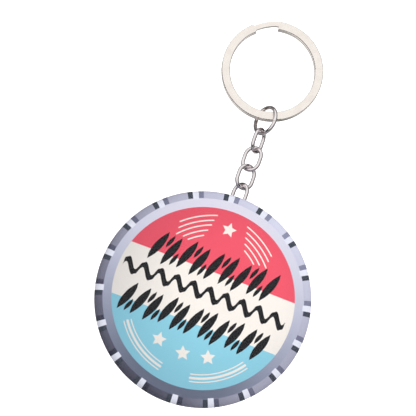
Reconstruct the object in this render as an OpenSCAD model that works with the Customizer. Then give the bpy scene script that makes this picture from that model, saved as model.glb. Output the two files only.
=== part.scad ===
// Bottle opener key fob: a round printed tin badge with an opener built into its back, hanging by
// four wire links and a jump ring from a flat-wire split ring. Millimetres, +Z up. The fob hangs in
// the XZ plane and its printed face looks along -Y. The origin is the hook point, where the inside
// of the split ring rests on whatever holds it.

// Which piece to show, or all of them together

/* [Split ring] */
// Outside diameter of the split ring
ring_od = 28; // [20:0.5:36]
// Width of the flat wire, measured along a radius
band_w = 2.3; // [1.5:0.1:3]
// Thickness of one layer of the flat wire
layer_t = 1.3; // [0.8:0.05:1.6]
// Gap between the two layers
layer_gap = 0.08; // [0.04:0.01:0.3]
// Where the middle of the crossover lies, in degrees anticlockwise from the top of the ring
crossover_at = 26; // [0:1:350]
// How much of the ring the crossover takes, in degrees
crossover_span = 30; // [15:0.2:40]
// How much narrower the crossing wire is on its inner side
crossover_in = 0.85; // [0:0.05:1.1]
// How much narrower the crossing wire is on its outer side
crossover_out = 0.1; // [0:0.05:0.8]
// How far the ring has swung round from hanging plumb, in degrees
ring_swing = 12.3; // [0:0.1:20]

/* [Chain] */
// Diameter of the round wire of the links and the jump ring
wire_d = 1.05; // [0.8:0.05:1.4]
// Outside diameter of the jump ring
jump_od = 8.8; // [7:0.1:10]
// How far the jump ring is turned about the chain's line, in degrees from lying flat with the badge
jump_turn = 52; // [45:1:135]
// Outside length of a link
link_h = 7.5; // [6:0.05:9]
// Outside width of a link
link_w = 5.95; // [5:0.05:7]
// How far each link is turned about the chain's line, in degrees from lying flat with the badge
link_turn = [-60, 30, -30, 45];
// Slack between two wires that bear on each other
wire_slack = 0.05; // [0.02:0.01:0.2]
// Width of the hairline where a bent wire's two ends meet
butt_gap = 0.08; // [0.04:0.01:0.2]

/* [Badge] */
// Diameter of the badge
badge_d = 58; // [50:1:75]
// Radius of the gently domed face
dome_r = 300; // [150:10:600]
// Radius of the rolled front edge
edge_r = 2.2; // [1.5:0.1:3]
// Depth of the straight side between the rolled edge and the hem
side_h = 0.45; // [0.2:0.05:2]
// Radius of the hem that turns in behind the rim
hem_r = 1.0; // [0.8:0.05:1.5]
// Thickness of the clear film, and of the printed paper under it
skin_t = 0.12; // [0.1:0.01:0.3]
// Thickness of the tinplate shell
tin_t = 0.35; // [0.25:0.05:0.5]

/* [Opener] */
// Outside diameter of the cup that stands out behind the badge
cup_d = 45.2; // [42:0.2:50]
// Depth of the back of the cup behind the front of the badge
cup_depth = 7.1; // [6.5:0.1:10]
// Thickness of the cup's pressed steel
cup_t = 0.5; // [0.4:0.05:0.8]
// Diameter of the opener plate
plate_d = 43.2; // [40:0.2:48]
// Thickness of the opener plate
plate_t = 1.2; // [1:0.1:2]
// Diameter of the round part of the mouth that takes a crown cap
mouth_d = 33.4; // [32.5:0.1:36]
// Height of the mouth's centre above the badge's centre
mouth_up = 2.4; // [0:0.1:4]
// Depth of the mouth's straight lower edge below the badge's centre
mouth_low = 6.0; // [4:0.1:10]
// Width of the lip that hooks under a cap
lip_w = 13; // [10:0.5:18]
// How far the lip stands up into the mouth
lip_h = 4.2; // [3:0.1:6]
// How far the tip of the lip is bent in towards the face
lip_set = 0.8; // [0:0.1:1.5]
// Diameter of the rivets' shanks
rivet_d = 1.8; // [1.5:0.1:2.5]
// Distance from the badge's centre to the chain's bearing point in the plate's ear
ear_bearing = 28.0; // [26:0.1:28.5]

/* [Hidden] */
$fn = 96;
eps = 0.01;

ring_r = ring_od / 2;
bore_r = ring_r - band_w;
band_mid_r = ring_r - band_w / 2;
// The ring's centre, left of the chain's line because the ring has swung round
ring_x = -bore_r * sin(ring_swing);
ring_z = -bore_r * cos(ring_swing);

// The jump ring hangs from the middle of the band, low enough to swing round it without binding
jump_drop = 1.15;
jump_r = (jump_od - wire_d) / 2;
jump_x = ring_x + band_mid_r * sin(ring_swing);
jump_z = ring_z - band_mid_r * cos(ring_swing) - jump_drop;

// Each link bears on the wire above it
pitch = link_h - 2 * wire_d - wire_slack;
link_1_top = jump_z - jump_r + wire_d + wire_slack;
function link_z(i) = link_1_top - (link_h - wire_d) / 2 - i * pitch;

// The badge hangs from the last link's lower end
last_wire_z = link_z(3) - (link_h - wire_d) / 2;
ear_slack = 0.5;
badge_z = last_wire_z + wire_d / 2 + ear_slack - ear_bearing;
// Depths behind the front of the badge, written as heights below it in the badge's own frame
plate_top = -cup_depth - eps;
plate_low = plate_top - plate_t;
badge_y = (plate_top + plate_low) / 2;

badge_r = badge_d / 2;
edge_x = badge_r - edge_r;
edge_low = dome_r - sqrt(pow(dome_r - edge_r, 2) - pow(edge_x, 2));
hem_low = edge_low + side_h;
hem_x = badge_r - hem_r;
// How far in from the badge's outer surface each layer starts
print_in = skin_t + eps;
tin_in = print_in + skin_t + eps;
inside = tin_in + tin_t;

cup_r = cup_d / 2;
cup_corner = 1.2;
flange_t = cup_t;
flange_low = hem_low - eps;
flange_r = badge_r - inside - 0.05;

ear_w = 6.6;
ear_web = 0.85;
ear_slot_w = 4.8;
ear_slot_h = 3;
ear_chamfer = 0.3;
// The ear is coined a little thinner than the plate, so that its back lies below the plate's
ear_step = 0.2;

rivet_places = [[-19.2, 1.5], [19.2, 1.5], [-11.5, -14.5], [11.5, -14.5]];
rivet_hole_d = rivet_d + 0.04;
rivet_head_d = 3.2;
rivet_head_h = 0.4;
// The rear heads lie flush in countersinks
sink_d = 3;
sink_h = (sink_d - rivet_d) / 2;

// ---- split ring ----

// The flat wire's section with its corners rounded, its inner edge at the bore, from z upwards
module band_section(z) {
    corner = 0.25;
    translate([bore_r, z]) {
        translate([corner, 0]) square([band_w - 2 * corner, layer_t]);
        translate([0, corner]) square([band_w, layer_t - 2 * corner]);
        for (x = [corner, band_w - corner], y = [corner, layer_t - corner])
            translate([x, y]) circle(r = corner);
    }
}

// Where the wire, pinched to less than its width, slopes from the front layer down to the back one
module crossover() {
    half = layer_t + layer_gap / 2;
    low = layer_gap / 2;
    reach = band_mid_r * sin(crossover_span / 2);
    bend = reach * 0.72;
    over = reach + 0.6;
    intersection() {
        rotate([90, 0, 0]) translate([0, 0, -ring_r])
            linear_extrude(band_w + 2)
                polygon([[over, low], [bend, low], [-bend, -half], [-over, -half],
                         [-over, -low], [-bend, -low], [bend, half], [over, half]]);
        difference() {
            cylinder(r = ring_r - crossover_out, h = 4 * layer_t, center = true);
            cylinder(r = bore_r + crossover_in, h = 5 * layer_t, center = true);
        }
    }
}

module split_ring() {
    color("gainsboro") translate([ring_x, 0, ring_z]) rotate([90, 0, 0]) {
        rotate([0, 0, crossover_at]) {
            rotate([0, 0, 90 + crossover_span / 2]) {
                rotate_extrude(angle = 360 - crossover_span) band_section(layer_gap / 2);
                rotate_extrude(angle = 360 - crossover_span) band_section(-layer_t - layer_gap / 2);
            }
            crossover();
        }
    }
}

// ---- chain ----

// A loop of round wire standing in the XZ plane, with a hairline where its two ends meet
module wire_loop(h, w) {
    r = (w - wire_d) / 2;
    straight = h - w;
    difference() {
        union() {
            for (end = [0, 180])
                rotate([0, end, 0]) translate([0, 0, straight / 2]) rotate([90, 0, 0])
                    rotate_extrude(angle = 180) translate([r, 0]) circle(d = wire_d);
            if (straight > 0)
                for (x = [-r, r])
                    translate([x, 0, 0]) cylinder(d = wire_d, h = straight, center = true);
        }
        translate([r, 0, 0]) cube([2 * wire_d, 2 * wire_d, butt_gap], center = true);
    }
}

module jump_ring() {
    color("silver") translate([jump_x, 0, jump_z]) rotate([0, 0, -jump_turn])
        wire_loop(jump_od, jump_od);
}

module chain_link(i) {
    color("silver") translate([jump_x, 0, link_z(i)]) rotate([0, 0, -link_turn[i]])
        wire_loop(link_h, link_w);
}

// ---- badge ----

// Puts what is drawn face up, with the front of the badge at z = 0, where the badge hangs
module in_badge() {
    translate([jump_x, badge_y, badge_z]) rotate([90, 0, 0]) children();
}

// Half of the badge's outline: domed face, rolled edge, side and hem, all moved in by a distance
module half_outline(in) {
    intersection() {
        translate([0, -dome_r]) circle(r = dome_r - in, $fn = 720);
        translate([0, -edge_low]) square([edge_x * (dome_r - in) / (dome_r - edge_r), edge_low]);
    }
    translate([edge_x, -edge_low]) circle(r = edge_r - in);
    translate([0, -hem_low]) square([badge_r - in, side_h]);
    translate([hem_x, -hem_low]) circle(r = hem_r - in);
}

// One layer of the badge's front, turned in behind the rim as far as the radius end_x
module front_layer(in, t, end_x) {
    rotate_extrude($fn = 180) difference() {
        half_outline(in);
        half_outline(in + t);
        translate([0, -hem_low - hem_r]) square([end_x, hem_r]);
    }
}

module clear_film() {
    color("white", 0.3) in_badge() front_layer(0, skin_t, hem_x);
}

module printed_disc() {
    color("ivory") in_badge() front_layer(print_in, skin_t, hem_x + 0.1);
}

module front_shell() {
    color("lightgray") in_badge() front_layer(tin_in, tin_t, badge_r - 2 * hem_r);
}

// Half of a drum with a rounded lower corner
module half_drum(r, low, corner) {
    translate([0, -low + corner]) square([r, low - corner]);
    translate([0, -low]) square([r - corner, low]);
    translate([r - corner, -low + corner]) circle(r = corner);
}

// The mouth seen from the face: round above and straight below, with rounded lower corners
module mouth_outline(grow = 0) {
    r = mouth_d / 2 + grow;
    low = -mouth_low - grow;
    corner = 2;
    corner_y = low + corner;
    corner_x = sqrt(pow(r - corner, 2) - pow(corner_y - mouth_up, 2));
    // where the corner runs into the round part
    join_y = mouth_up + (corner_y - mouth_up) * r / (r - corner);
    intersection() {
        translate([0, mouth_up]) circle(r = r, $fn = 180);
        translate([-r, join_y]) square([2 * r, 2 * r]);
    }
    translate([-corner_x, low]) square([2 * corner_x, join_y - low + eps]);
    for (x = [-corner_x, corner_x]) translate([x, corner_y]) circle(r = corner);
}

module rivet_holes() {
    for (p = rivet_places) translate([p[0], p[1], plate_low]) {
        translate([0, 0, -1]) cylinder(d = rivet_hole_d, h = plate_t + cup_t + 2);
        cylinder(r1 = rivet_hole_d / 2 + sink_h, r2 = rivet_hole_d / 2, h = sink_h);
    }
}

// The pressed cup: a flange held by the hem, a round wall and a back with the mouth cut through it
module back_cup() {
    color("gainsboro") in_badge() difference() {
        rotate_extrude($fn = 180) difference() {
            union() {
                intersection() {
                    half_drum(cup_r, cup_depth, cup_corner);
                    translate([0, -cup_depth]) square([cup_r, cup_depth - flange_low + flange_t]);
                }
                translate([0, -flange_low]) square([flange_r, flange_t]);
            }
            half_drum(cup_r - cup_t, cup_depth - cup_t, cup_corner - cup_t);
        }
        translate([0, 0, -cup_depth - 1]) linear_extrude(cup_t + 2) mouth_outline(1);
        rivet_holes();
    }
}

// The lip's outline from the face, with a rounded tip, starting a little inside the plate
module lip_outline() {
    tip_corner = 2;
    translate([-lip_w / 2, -mouth_low - 1]) square([lip_w, lip_h + 1 - tip_corner]);
    translate([-lip_w / 2 + tip_corner, -mouth_low]) square([lip_w - 2 * tip_corner, lip_h]);
    for (x = [-1, 1])
        translate([x * (lip_w / 2 - tip_corner), -mouth_low + lip_h - tip_corner])
            circle(r = tip_corner);
}

// The bent lip: its side view swept across, cut to its outline
module lip() {
    root = -mouth_low - 1;
    tip = -mouth_low + lip_h;
    intersection() {
        translate([-lip_w / 2, 0, 0]) rotate([90, 0, 90]) linear_extrude(lip_w)
            polygon([[root, plate_low], [-mouth_low, plate_low], [tip, plate_low + lip_set],
                     [tip, plate_top + lip_set], [-mouth_low, plate_top], [root, plate_top]]);
        translate([0, 0, plate_low - 1]) linear_extrude(plate_t + lip_set + 2) lip_outline();
    }
}

// The ear that the last link passes through, reaching out behind the rim
module ear_outline() {
    end_y = ear_bearing + ear_web;
    corner = 1.5;
    translate([-ear_w / 2, 0]) square([ear_w, end_y - corner]);
    translate([-ear_w / 2 + corner, 0]) square([ear_w - 2 * corner, end_y]);
    for (x = [-1, 1]) translate([x * (ear_w / 2 - corner), end_y - corner]) circle(r = corner);
}

// The slot in the ear, opened out at both faces so that the wire can turn in it
module ear_slot() {
    t = plate_t - ear_step;
    r = ear_slot_h / 2;
    reach = ear_slot_w / 2 - r;
    wide = r + ear_chamfer;
    translate([0, ear_bearing - r, plate_low + ear_step]) {
        for (x = [-reach, reach]) translate([x, 0, 0]) {
            translate([0, 0, -1]) cylinder(r = r, h = t + 2);
            cylinder(r1 = wide, r2 = r, h = ear_chamfer);
            translate([0, 0, t - ear_chamfer]) cylinder(r1 = r, r2 = wide, h = ear_chamfer);
        }
        translate([-reach, 0, 0]) rotate([90, 0, 90]) linear_extrude(2 * reach)
            polygon([[-wide, 0], [-r, ear_chamfer], [-r, t - ear_chamfer], [-wide, t],
                     [wide, t], [r, t - ear_chamfer], [r, ear_chamfer], [wide, 0]]);
    }
}

// What is coined away from the back of the ear: everything beyond the plate's round edge
module ear_coining() {
    translate([0, 0, plate_low - 1]) linear_extrude(ear_step + 1) difference() {
        translate([-ear_w, 0]) square([2 * ear_w, badge_r + 5]);
        circle(d = plate_d, $fn = 180);
    }
}

module opener_plate() {
    relief_r = 0.9;
    color("silver") in_badge() {
        difference() {
            translate([0, 0, plate_low]) linear_extrude(plate_t) {
                difference() {
                    union() {
                        circle(d = plate_d, $fn = 180);
                        ear_outline();
                    }
                    mouth_outline();
                    for (x = [-1, 1])
                        translate([x * (lip_w / 2 + relief_r), -mouth_low]) circle(r = relief_r);
                }
            }
            rivet_holes();
            ear_slot();
            ear_coining();
        }
        lip();
    }
}

// A rivet with a flush head in the back of the plate and a flat one inside the cup
module rivet(i) {
    grip = plate_t + eps + cup_t;
    color("lightgray") in_badge() translate([rivet_places[i][0], rivet_places[i][1], plate_low]) {
        cylinder(r1 = sink_d / 2, r2 = rivet_d / 2, h = sink_h);
        cylinder(d = rivet_d, h = grip + 2 * eps);
        translate([0, 0, grip + eps]) cylinder(d = rivet_head_d, h = rivet_head_h);
    }
}

split_ring();
jump_ring();
for (i = [0 : 3])
    chain_link(i);
clear_film();
printed_disc();
front_shell();
back_cup();
opener_plate();
for (i = [0 : 3])
    rivet(i);
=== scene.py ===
"""Looks for the bottle opener key fob: printed badge, nickel chain and ring, steel opener at the back.

Places are in metres in the CAD row frame, +Z up and the printed face towards -Y. The print's own
numbers, and the names that end in _mm, are in millimetres.
"""

import math

import bmesh
import bpy
from mathutils import Matrix, Vector


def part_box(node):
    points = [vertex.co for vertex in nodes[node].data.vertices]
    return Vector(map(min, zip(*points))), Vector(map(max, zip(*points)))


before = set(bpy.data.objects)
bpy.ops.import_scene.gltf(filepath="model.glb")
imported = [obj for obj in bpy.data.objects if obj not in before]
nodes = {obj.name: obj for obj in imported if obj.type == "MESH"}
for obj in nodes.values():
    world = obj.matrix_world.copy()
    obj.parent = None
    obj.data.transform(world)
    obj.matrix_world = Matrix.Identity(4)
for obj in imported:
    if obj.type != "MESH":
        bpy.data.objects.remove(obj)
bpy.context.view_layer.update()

MM = 0.001

# ---- places, from the frame ----

film_low, film_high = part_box("clear_film")
badge_x = (film_low.x + film_high.x) / 2
badge_z = (film_low.z + film_high.z) / 2
badge_front = film_low.y
badge_r_mm = (film_high.x - film_low.x) / 2 / MM


# ---- node maths ----

class Field:
    """A number that varies over a surface, so that node maths can be written as a formula"""

    def __init__(self, tree, socket):
        self.tree = tree
        self.socket = socket

    def math(self, operation, *others, clamp=False):
        node = self.tree.nodes.new("ShaderNodeMath")
        node.operation = operation
        node.use_clamp = clamp
        for slot, value in zip(node.inputs, (self, *others)):
            plug(self.tree, slot, value)
        return Field(self.tree, node.outputs[0])

    def __add__(self, other):
        return self.math("ADD", other)

    def __sub__(self, other):
        return self.math("SUBTRACT", other)

    def __mul__(self, other):
        return self.math("MULTIPLY", other)

    def __truediv__(self, other):
        return self.math("DIVIDE", other)

    def __rsub__(self, other):
        return self.math("MULTIPLY_ADD", -1.0, other)

    def __neg__(self):
        return self.math("MULTIPLY", -1.0)

    def __abs__(self):
        return self.math("ABSOLUTE")

    def __gt__(self, other):
        return self.math("GREATER_THAN", other)

    def at_least(self, other):
        return self.math("MAXIMUM", other)

    def at_most(self, other):
        return self.math("MINIMUM", other)

    def wrapped(self, low, high):
        return self.math("WRAP", high, low)

    def sin(self):
        return self.math("SINE")

    def cos(self):
        return self.math("COSINE")

    def root(self):
        return self.math("SQRT")

    def rounded(self):
        return self.math("ROUND")


def plug(tree, slot, value):
    """Joins a field or a socket to an input, or sets the input to a plain value"""
    if isinstance(value, Field):
        tree.links.new(value.socket, slot)
    elif isinstance(value, bpy.types.NodeSocket):
        tree.links.new(value, slot)
    else:
        slot.default_value = value


def length(x, y):
    """How far a place is from the middle"""
    return (x * x + y * y).root()


def bearing(x, y):
    """Degrees clockwise from straight up"""
    return x.math("ARCTAN2", y) * (180 / math.pi)


def inside(distance, edge=0.07):
    """1 where a signed distance in millimetres is below zero, with a soft printed edge"""
    return (distance * (-1 / edge)).math("ADD", 0.5, clamp=True)


def rgb(red, green, blue):
    """A screen colour from 0 to 255 as the linear colour that Blender works in"""
    def linear(value):
        value = value / 255
        return value / 12.92 if value <= 0.04045 else ((value + 0.055) / 1.055) ** 2.4
    return (linear(red), linear(green), linear(blue), 1.0)


def mix(tree, factor, first, second, blend="MIX"):
    """Mixes two colours; the node's sockets for colours are inputs 6 and 7 and output 2"""
    node = tree.nodes.new("ShaderNodeMix")
    node.data_type = "RGBA"
    node.blend_type = blend
    plug(tree, node.inputs["Factor"], factor)
    plug(tree, node.inputs[6], first)
    plug(tree, node.inputs[7], second)
    return node.outputs[2]


def ramp(tree, factor, stops):
    """A colour ramp through (place, colour) stops"""
    node = tree.nodes.new("ShaderNodeValToRGB")
    plug(tree, node.inputs[0], factor)
    band = node.color_ramp
    while len(band.elements) < len(stops):
        band.elements.new(0.5)
    for element, (place, colour) in zip(band.elements, stops):
        element.position = place
        element.color = colour
    return node.outputs[0]


def object_place(tree):
    """Each point's place in the piece's own metres"""
    return tree.nodes.new("ShaderNodeTexCoord").outputs["Object"]


def axes_of(tree, vector):
    """A vector's x, y and z as three fields"""
    node = tree.nodes.new("ShaderNodeSeparateXYZ")
    tree.links.new(vector, node.inputs[0])
    return [Field(tree, out) for out in node.outputs]


def stretched(tree, vector, scale):
    """Coordinates scaled along each axis, to draw a texture out along a direction"""
    node = tree.nodes.new("ShaderNodeMapping")
    tree.links.new(vector, node.inputs["Vector"])
    node.inputs["Scale"].default_value = scale
    return node.outputs[0]


def noise(tree, vector, grain_mm, detail=3.0, roughness=0.55, distortion=0.0):
    """Smooth noise whose features are about grain_mm across"""
    node = tree.nodes.new("ShaderNodeTexNoise")
    tree.links.new(vector, node.inputs["Vector"])
    node.inputs["Scale"].default_value = 1 / (grain_mm * MM)
    node.inputs["Detail"].default_value = detail
    node.inputs["Roughness"].default_value = roughness
    node.inputs["Distortion"].default_value = distortion
    return Field(tree, node.outputs[0])


def between(field, low, high, out_low, out_high):
    """Maps a field's range onto another, held at both ends"""
    node = field.tree.nodes.new("ShaderNodeMapRange")
    plug(field.tree, node.inputs["Value"], field)
    for name, value in (("From Min", low), ("From Max", high), ("To Min", out_low), ("To Max", out_high)):
        node.inputs[name].default_value = value
    return Field(field.tree, node.outputs[0])


def bump(tree, height, depth_mm):
    """A normal for fine relief that is depth_mm deep where the height runs from 0 to 1"""
    node = tree.nodes.new("ShaderNodeBump")
    node.inputs["Strength"].default_value = 1.0
    node.inputs["Distance"].default_value = depth_mm * MM
    plug(tree, node.inputs["Height"], height)
    return node.outputs[0]


def new_material(name):
    """A material with its node tree and its surface shader"""
    material = bpy.data.materials.new(name)
    material.use_nodes = True
    tree = material.node_tree
    return material, tree, tree.nodes["Principled BSDF"]


def wear(obj, material):
    """Gives a piece one material all over"""
    obj.data.materials.clear()
    obj.data.materials.append(material)


# ---- the print ----

PRINT_TURN = 1.5         # degrees that the print is turned clockwise from plumb
PRINT_R = 24.25          # radius of the coloured picture
PICTURE_DROP = 0.2       # how low the picture's parts sit in it
RIM_BACK = 3.9           # depth behind the badge's front from which the print is on the back of the rim
PAPER = rgb(250, 243, 236)
RED = rgb(243, 86, 106)
BLUE = rgb(146, 213, 233)
INK = rgb(8, 7, 13)
RED_LOW = 7.4            # height of the red field's lower edge
BLUE_TOP = -7.15         # height of the blue field's upper edge

PLEATS = 18
PLEAT_STEP = 360 / PLEATS
PLEAT_OFFSET = 4.9       # degrees that the first white block lies anticlockwise of the top
LIGHT_AXIS = 25          # where the drawn light comes from, in degrees clockwise of the top
BAND_R = 26.6            # where the rim's ring ends and its band starts
BLOCK_R = 28             # where the widths of the pleats' blocks are measured


def badge_plan(tree):
    """The print's own right and up, and the depth behind the front"""
    x, y, z = axes_of(tree, object_place(tree))
    right = (x - badge_x) / MM
    up = (z - badge_z) / MM
    turn = math.radians(PRINT_TURN)
    across = right * math.cos(turn) - up * math.sin(turn)
    above = right * math.sin(turn) + up * math.cos(turn)
    return across, above, (y - badge_front) / MM


def star(across, above, centre, turn=0.0, outer=2.05, inner=1.0):
    """Distance outside a five-pointed star whose first point is turned clockwise from the top"""
    x, y = across - centre[0], above - centre[1]
    half = math.radians(36)
    angle = abs((bearing(x, y) - turn).wrapped(-36, 36)) * (math.pi / 180)
    radius = length(x, y)
    edge = math.hypot(inner * math.cos(half) - outer, inner * math.sin(half))
    normal_x = inner * math.sin(half) / edge
    normal_y = (outer - inner * math.cos(half)) / edge
    return radius * (angle.cos() * normal_x + angle.sin() * normal_y) - outer * normal_x


def arc(radius, angle, middle_r, width, start, end):
    """Distance outside a round-ended stroke along a circle, between two bearings"""
    along = (abs(angle - (start + end) / 2) - (end - start) / 2) * (math.radians(1) * middle_r)
    return length(along.at_least(0.0), radius - middle_r) - width / 2


def nearest(distances):
    """Distance outside the nearest of several shapes"""
    result = distances[0]
    for other in distances[1:]:
        result = result.at_most(other)
    return result


def upper_strokes(across, above):
    """Five thin strokes each side of the top star, drawn round a centre beyond the middle"""
    centre_beyond, width = 2.8, 0.34
    x = abs(across) + centre_beyond
    radius, angle = length(x, above), bearing(x, above)
    spans = [
        (23.15, 17.9, 42.9),
        (21.8, 20.2, 45.3),
        (20.55, 21.9, 48.8),
        (19.2, 25.0, 44.9),
        (17.9, 28.8, 42.4),
    ]
    return nearest([arc(radius, angle, r, width, start, end) for r, start, end in spans])


def lower_strokes(across, above):
    """A thick stroke between two thin ones, each side of the bottom"""
    centre_below, start, end = 1.0, 12, 55
    thin, thick = 0.3, 0.62
    x, y = abs(across), above + centre_below
    radius, angle = length(x, -y), bearing(x, -y)
    strokes = [(19.15, thin), (20.15, thick), (21.1, thin)]
    return nearest([arc(radius, angle, r, width, start, end) for r, width in strokes])


def all_stars(across, above):
    """One star at the top and three at the bottom, each turned a little its own way"""
    stars = [((0.0, 19.45), 0), ((-7.0, -14.2), -3), ((0.1, -15.4), -18), ((6.7, -14.15), -20)]
    return nearest([star(across, above, centre, turn) for centre, turn in stars])


def leaf(x, y, half_width, half_height):
    """Distance outside an upright leaf with pointed ends, made of two arcs"""
    radius = (half_height ** 2 + half_width ** 2) / (2 * half_width)
    return length(abs(x) + (radius - half_width), y) - radius


def leaf_row(across, above, centre, count, pitch, height, slant=0.36):
    """A garland of bold slanted leaves of uneven height, with a small leaf high or low between each two"""
    big_half_width, small_half_width = 1.12, 0.55
    y = above - centre[1]
    x = across - centre[0] - y * slant
    place = (x / pitch).rounded().at_least((1 - count) / 2).at_most((count - 1) / 2)
    sway = (place * 2.4).sin()
    big = leaf(x - place * pitch, y - sway * 0.4, big_half_width, height / 2)
    gap = ((x / pitch - 0.5).rounded() + 0.5).at_least(1 - count / 2).at_most(count / 2 - 1)
    step = (gap * math.pi).sin()
    small = leaf(x - gap * pitch, y - step * (height * 0.24), small_half_width, height * 0.22)
    return big.at_most(small)


def brush_wave(across, above, centre, size, pitch, width):
    """One running wave, thick on the way down and thin on the way up"""
    x, y = across - centre[0], above - centre[1]
    phase = (x + y * 0.25) * (2 * math.pi / pitch)
    crest = phase.sin() * (size[1] / 2 - width / 2)
    slope = phase.cos() * (math.pi * (size[1] - width) / pitch)
    distance = abs(y - crest) / (slope * slope + 1.0).root()
    thick = phase.cos() * (-0.3 * width) + width * 0.55
    return (distance - thick).at_least(abs(x) - size[0] / 2)


def all_ink(across, above):
    """Two garlands of leaves with a running wave between them"""
    upper = leaf_row(across, above, (-0.3, 8.9), 9, 3.95, 8.6)
    wave = brush_wave(across, above, (-0.3, 1.4), (45.6, 3.6), 4.6, 1.15)
    lower = leaf_row(across, above, (-0.2, -6.6), 11, 3.75, 8.2)
    return nearest([upper, wave, lower])


def ring_tone(tree, above, radius):
    """The rim's inner ring, pale at the top and dark at the bottom"""
    height = above / radius * 0.5 + 0.5
    return ramp(tree, height, [
        (0.0, rgb(97, 104, 124)),
        (0.07, rgb(106, 113, 134)),
        (0.25, rgb(140, 146, 168)),
        (0.5, rgb(179, 182, 203)),
        (0.75, rgb(207, 208, 225)),
        (1.0, rgb(222, 220, 235)),
    ])


def band_tone(tree, angle):
    """The rim's outer band, as greys at clockwise bearings from the top"""
    tones = [
        (0, 207), (30, 215), (60, 200), (100, 171), (135, 161), (160, 126), (175, 90),
        (190, 73), (210, 77), (245, 98), (275, 131), (300, 160), (330, 184), (360, 207),
    ]
    stops = [(at / 360, rgb(tone * 0.98, tone * 0.985, tone + 17)) for at, tone in tones]
    return ramp(tree, angle.wrapped(0, 360) / 360, stops)


def crown_shading(tree, above, radius, angle):
    """The drawn metal rim: its ring and band, and a white, a grey and a dark block on each pleat"""
    shade = mix(tree, inside(BAND_R - radius, 0.15), ring_tone(tree, above, radius), band_tone(tree, angle))
    pleat = (angle + PLEAT_OFFSET).wrapped(-PLEAT_STEP / 2, PLEAT_STEP / 2)
    side = ((angle - LIGHT_AXIS) * (math.pi / 180)).sin().math("SIGN")
    place = pleat * side * (math.radians(1) * BLOCK_R)
    white_half, block_end = 0.8, 2.15
    middle, half = (white_half + block_end) / 2, (block_end - white_half) / 2
    on_band = inside(BAND_R + 0.1 - radius)
    dark = inside(abs(place - middle) - half) * on_band
    grey = inside(abs(place + middle) - half) * on_band
    shade = mix(tree, grey, shade, mix(tree, 1.0, shade, rgb(168, 170, 184), "MULTIPLY"))
    shade = mix(tree, dark, shade, rgb(58, 65, 78))
    white = inside(abs(place) - white_half) * inside(BAND_R - 0.2 - radius)
    return mix(tree, white, shade, rgb(227, 229, 243))


def painted_shade_falloff(tree, across, above):
    """Painted shade: the picture darkened outwards from a place above and to the right of its middle, as
    light falling off would darken it
    """
    right, up, reach = 6.0, 4.0, 40
    return ramp(tree, length(across - right, above - up) / reach, [
        (0.0, (1, 1, 1, 1)),
        (0.35, (0.99, 0.99, 0.99, 1)),
        (0.75, (0.75, 0.76, 0.78, 1)),
        (1.0, (0.66, 0.67, 0.7, 1)),
    ])


def print_colour_with_painted_shade(tree):
    """The whole print: coloured fields, pale stars and strokes, ink, and the drawn crown rim round them,
    with painted shade over the picture
    """
    across, above, depth = badge_plan(tree)
    plan_r = length(across, above)
    # behind the rim the print runs on, so the radius is measured past the edge and back
    behind = depth > RIM_BACK
    radius = plan_r + (badge_r_mm - plan_r) * 2 * behind
    angle = bearing(across, above)
    high = above + PICTURE_DROP
    fields = mix(tree, inside(RED_LOW - high), PAPER, RED)
    fields = mix(tree, inside(high - BLUE_TOP), fields, BLUE)
    pale = nearest([all_stars(across, high), upper_strokes(across, high), lower_strokes(across, high)])
    fields = mix(tree, inside(pale), fields, PAPER)
    ragged = (noise(tree, object_place(tree), 0.5, 4, 0.7) - 0.5) * 0.3
    fields = mix(tree, inside(all_ink(across, high) + ragged), fields, INK)
    # painted shade: the picture is multiplied darker away from its upper right, as if lit from there
    fields = mix(tree, 1.0, fields, painted_shade_falloff(tree, across, above), "MULTIPLY")
    rim = crown_shading(tree, above, radius, angle)
    return mix(tree, inside(radius - PRINT_R, 0.12), rim, fields)


def printed_paper():
    """Coated paper: the picture with its painted shade, a faint mottle in the ink and a fine tooth"""
    material, tree, shader = new_material("printed_paper")
    place = object_place(tree)
    mottle = between(noise(tree, place, 0.35, 4), 0.3, 0.7, 0.965, 1.0)
    colour = mix(tree, 1.0, print_colour_with_painted_shade(tree), mottle.socket, "MULTIPLY")
    plug(tree, shader.inputs["Base Color"], colour)
    plug(tree, shader.inputs["Roughness"], between(noise(tree, place, 1.6, 3), 0.3, 0.7, 0.42, 0.5))
    plug(tree, shader.inputs["Normal"], bump(tree, noise(tree, place, 0.12, 2), 0.004))
    shader.inputs["Specular IOR Level"].default_value = 0.12
    return material


def clear_film():
    """Satin polyester film: almost nothing but its own soft shine"""
    material, tree, shader = new_material("clear_film")
    place = object_place(tree)
    shader.inputs["Base Color"].default_value = (0.3, 0.3, 0.32, 1)
    shader.inputs["Alpha"].default_value = 0.03
    plug(tree, shader.inputs["Roughness"], between(noise(tree, place, 2.5, 3), 0.3, 0.7, 0.26, 0.36))
    return material


# ---- metals ----

def metal(name, colour, tint, rough, scratch_along=(1, 1, 1), scratch_mm=0.004, haze=0.05, metallic=1.0):
    """Plated metal: colour and roughness clouded a little, with fine rubbing marks scratch_mm deep"""
    material, tree, shader = new_material(name)
    place = object_place(tree)
    cloud = between(noise(tree, place, 2.2, 4, 0.6, 0.4), 0.35, 0.65, 0.0, 1.0)
    plug(tree, shader.inputs["Base Color"], mix(tree, cloud, colour, tint))
    rub = noise(tree, stretched(tree, place, scratch_along), 0.16, 5, 0.7)
    roughness = between(rub, 0.3, 0.75, rough, rough + haze) + cloud * (haze * 0.6)
    plug(tree, shader.inputs["Roughness"], roughness)
    plug(tree, shader.inputs["Normal"], bump(tree, rub, scratch_mm))
    shader.inputs["Metallic"].default_value = metallic
    return material


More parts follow.
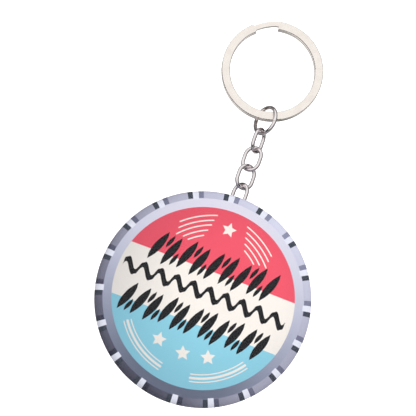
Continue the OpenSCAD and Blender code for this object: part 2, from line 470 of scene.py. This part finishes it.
def break_edges(obj, width_mm):
    """Takes the sharp edges off a stamped piece, as tumbling does"""
    weld = obj.modifiers.new("weld", "WELD")
    weld.merge_threshold = 1e-7
    flats = obj.modifiers.new("flats", "DECIMATE")
    flats.decimate_type = "DISSOLVE"
    flats.angle_limit = math.radians(0.4)
    bevel = obj.modifiers.new("broken_edges", "BEVEL")
    bevel.width = width_mm * MM
    bevel.segments = 2
    bevel.limit_method = "ANGLE"
    bevel.angle_limit = math.radians(40)
    bevel.harden_normals = True


SATIN = 0.88             # how much of a satin steel's look is metal, the rest being a matt grey


def dress_cad_nodes():
    """Puts the materials on the CAD's pieces and breaks the stamped pieces' edges"""
    ring = metal("nickel_ring", rgb(250, 243, 236), rgb(243, 235, 227), 0.14, scratch_mm=0.002)
    wire = metal("nickel_wire", rgb(242, 236, 236), rgb(228, 220, 222), 0.07, scratch_mm=0.001, haze=0.03)
    tin = metal("tinplate", rgb(214, 216, 219), rgb(206, 208, 212), 0.3,
                scratch_along=(1, 1, 0.08), scratch_mm=0.003, metallic=SATIN)
    cup = metal("cup_steel", rgb(212, 213, 216), rgb(203, 205, 209), 0.32,
                scratch_along=(1, 1, 0.06), scratch_mm=0.003, metallic=SATIN)
    plate = metal("plate_steel", rgb(220, 221, 222), rgb(212, 213, 216), 0.26,
                  scratch_along=(0.05, 1, 1), metallic=SATIN)
    rivet = metal("rivet_steel", rgb(230, 230, 230), rgb(222, 222, 224), 0.2, metallic=SATIN)
    wear(nodes["split_ring"], ring)
    wear(nodes["jump_ring"], wire)
    for i in range(1, 5):
        wear(nodes[f"chain_link_{i}"], wire)
        wear(nodes[f"rivet_{i}"], rivet)
    wear(nodes["front_shell"], tin)
    wear(nodes["back_cup"], cup)
    wear(nodes["opener_plate"], plate)
    break_edges(nodes["opener_plate"], 0.12)
    break_edges(nodes["back_cup"], 0.08)
    wear(nodes["printed_disc"], printed_paper())
    wear(nodes["clear_film"], clear_film())


# ---- stage ----

FLOOR_Z = -0.19
TENT_R = 1.6


def bowl_profile():
    """Half outline of the backdrop: a flat floor that curves up into a wall, as (radius, height)"""
    floor_r, curve, top = 0.75, 0.45, 1.2
    turns = [math.radians(90 * i / 12) for i in range(13)]
    bend = [(floor_r + curve * math.sin(t), FLOOR_Z + curve * (1 - math.cos(t))) for t in turns]
    return [(0.0, FLOOR_Z), *bend, (floor_r + curve, top)]


def backdrop():
    """A pale floor that curves up all round into a pale wall"""
    mesh = bmesh.new()
    steps = 96
    profile = bowl_profile()
    rows = []
    for i in range(steps):
        angle = 2 * math.pi * i / steps
        rows.append([mesh.verts.new((r * math.cos(angle), r * math.sin(angle), z)) for r, z in profile])
    for i in range(steps):
        row, after = rows[i], rows[(i + 1) % steps]
        for j in range(len(profile) - 1):
            mesh.faces.new((row[j], row[j + 1], after[j + 1], after[j]))
    bmesh.ops.remove_doubles(mesh, verts=mesh.verts, dist=1e-6)
    bmesh.ops.recalc_face_normals(mesh, faces=mesh.faces)
    data = bpy.data.meshes.new("backdrop")
    mesh.to_mesh(data)
    mesh.free()
    for face in data.polygons:
        face.use_smooth = True
    obj = bpy.data.objects.new("backdrop", data)
    bpy.context.scene.collection.objects.link(obj)
    material, _, shader = new_material("backdrop_paper")
    shader.inputs["Base Color"].default_value = (0.86, 0.86, 0.865, 1)
    shader.inputs["Roughness"].default_value = 0.9
    shader.inputs["Emission Color"].default_value = (1, 1, 1, 1)
    shader.inputs["Emission Strength"].default_value = 0.8
    wear(obj, material)
    obj.visible_diffuse = False
    obj.visible_glossy = False


def tent():
    """A tent that shows only in reflections: bright in front, with dark and bright hoops behind"""
    bpy.ops.mesh.primitive_uv_sphere_add(segments=64, ring_count=32, radius=TENT_R)
    obj = bpy.context.object
    obj.name = "tent"
    material, tree, shader = new_material("tent_cloth")
    x, y, z = axes_of(tree, object_place(tree))
    off_front = (y / TENT_R).math("ARCSINE") * (180 / math.pi) + 90
    # the hoops lean, by degrees for each metre across and down
    lean = x * 12.0 - z * 16.0
    # brightness at degrees from straight in front
    tones = [
        (0, 1.0), (50, 1.0), (56, 0.5), (61, 0.05), (76, 0.05), (83, 0.3), (108, 0.36), (116, 0.05),
        (142, 0.05), (148, 0.5), (154, 0.95), (166, 0.95), (171, 0.35), (174, 0.15), (180, 0.15),
    ]
    stops = [(at / 180, (tone, tone, tone, 1)) for at, tone in tones]
    glow = ramp(tree, (off_front + lean) / 180, stops)
    shader.inputs["Base Color"].default_value = (0, 0, 0, 1)
    shader.inputs["Specular IOR Level"].default_value = 0.0
    plug(tree, shader.inputs["Emission Color"], glow)
    shader.inputs["Emission Strength"].default_value = 1.0
    wear(obj, material)
    obj.visible_camera = False
    obj.visible_diffuse = False
    obj.visible_shadow = False
    obj.visible_transmission = False


def area_light(name, place, aim, size, power):
    """A soft light, its power in watts, that reflections don't show"""
    data = bpy.data.lights.new(name, "AREA")
    data.shape = "RECTANGLE"
    data.size, data.size_y = size
    data.energy = power
    obj = bpy.data.objects.new(name, data)
    bpy.context.scene.collection.objects.link(obj)
    obj.location = place
    obj.rotation_mode = "QUATERNION"
    obj.rotation_quaternion = (Vector(aim) - Vector(place)).to_track_quat("-Z", "Y")
    obj.visible_glossy = False


def studio():
    """Backdrop, tent for the reflections, three soft lights and the air's own glow"""
    middle = (0, 0, -0.05)
    backdrop()
    tent()
    area_light("key", (0.35, -0.6, 0.2), middle, (0.4, 0.4), 2.65)
    area_light("fill", (-0.6, -0.55, 0.0), middle, (0.5, 0.7), 0.6)
    area_light("rear", (0.3, 0.7, 0.35), middle, (0.5, 0.5), 1.8)
    world = bpy.data.worlds.new("studio_air")
    bpy.context.scene.world = world
    world.use_nodes = True
    world.node_tree.nodes["Background"].inputs[0].default_value = (1, 1, 1, 1)
    world.node_tree.nodes["Background"].inputs[1].default_value = 0.74


# ---- camera ----

def camera():
    """Stands a little below the badge, rolled so that the fob leans to the right"""
    azimuth, elevation, roll = math.radians(0.8), math.radians(-9.0), math.radians(19.5)
    distance = 0.4
    aim = Vector((-6.6, 0, -53.31)) * MM
    back = Vector((math.sin(azimuth) * math.cos(elevation), -math.cos(azimuth) * math.cos(elevation),
                   math.sin(elevation)))
    data = bpy.data.cameras.new("camera")
    data.lens = 127.7
    data.clip_start, data.clip_end = 0.01, 20
    obj = bpy.data.objects.new("camera", data)
    bpy.context.scene.collection.objects.link(obj)
    upright = (-back).to_track_quat("-Z", "Y")
    obj.rotation_mode = "QUATERNION"
    obj.rotation_quaternion = upright @ Matrix.Rotation(roll, 3, "Z").to_quaternion()
    obj.location = aim + back * distance
    bpy.context.scene.camera = obj


camera()
studio()
dress_cad_nodes()
bpy.context.scene.view_settings.view_transform = "Standard"
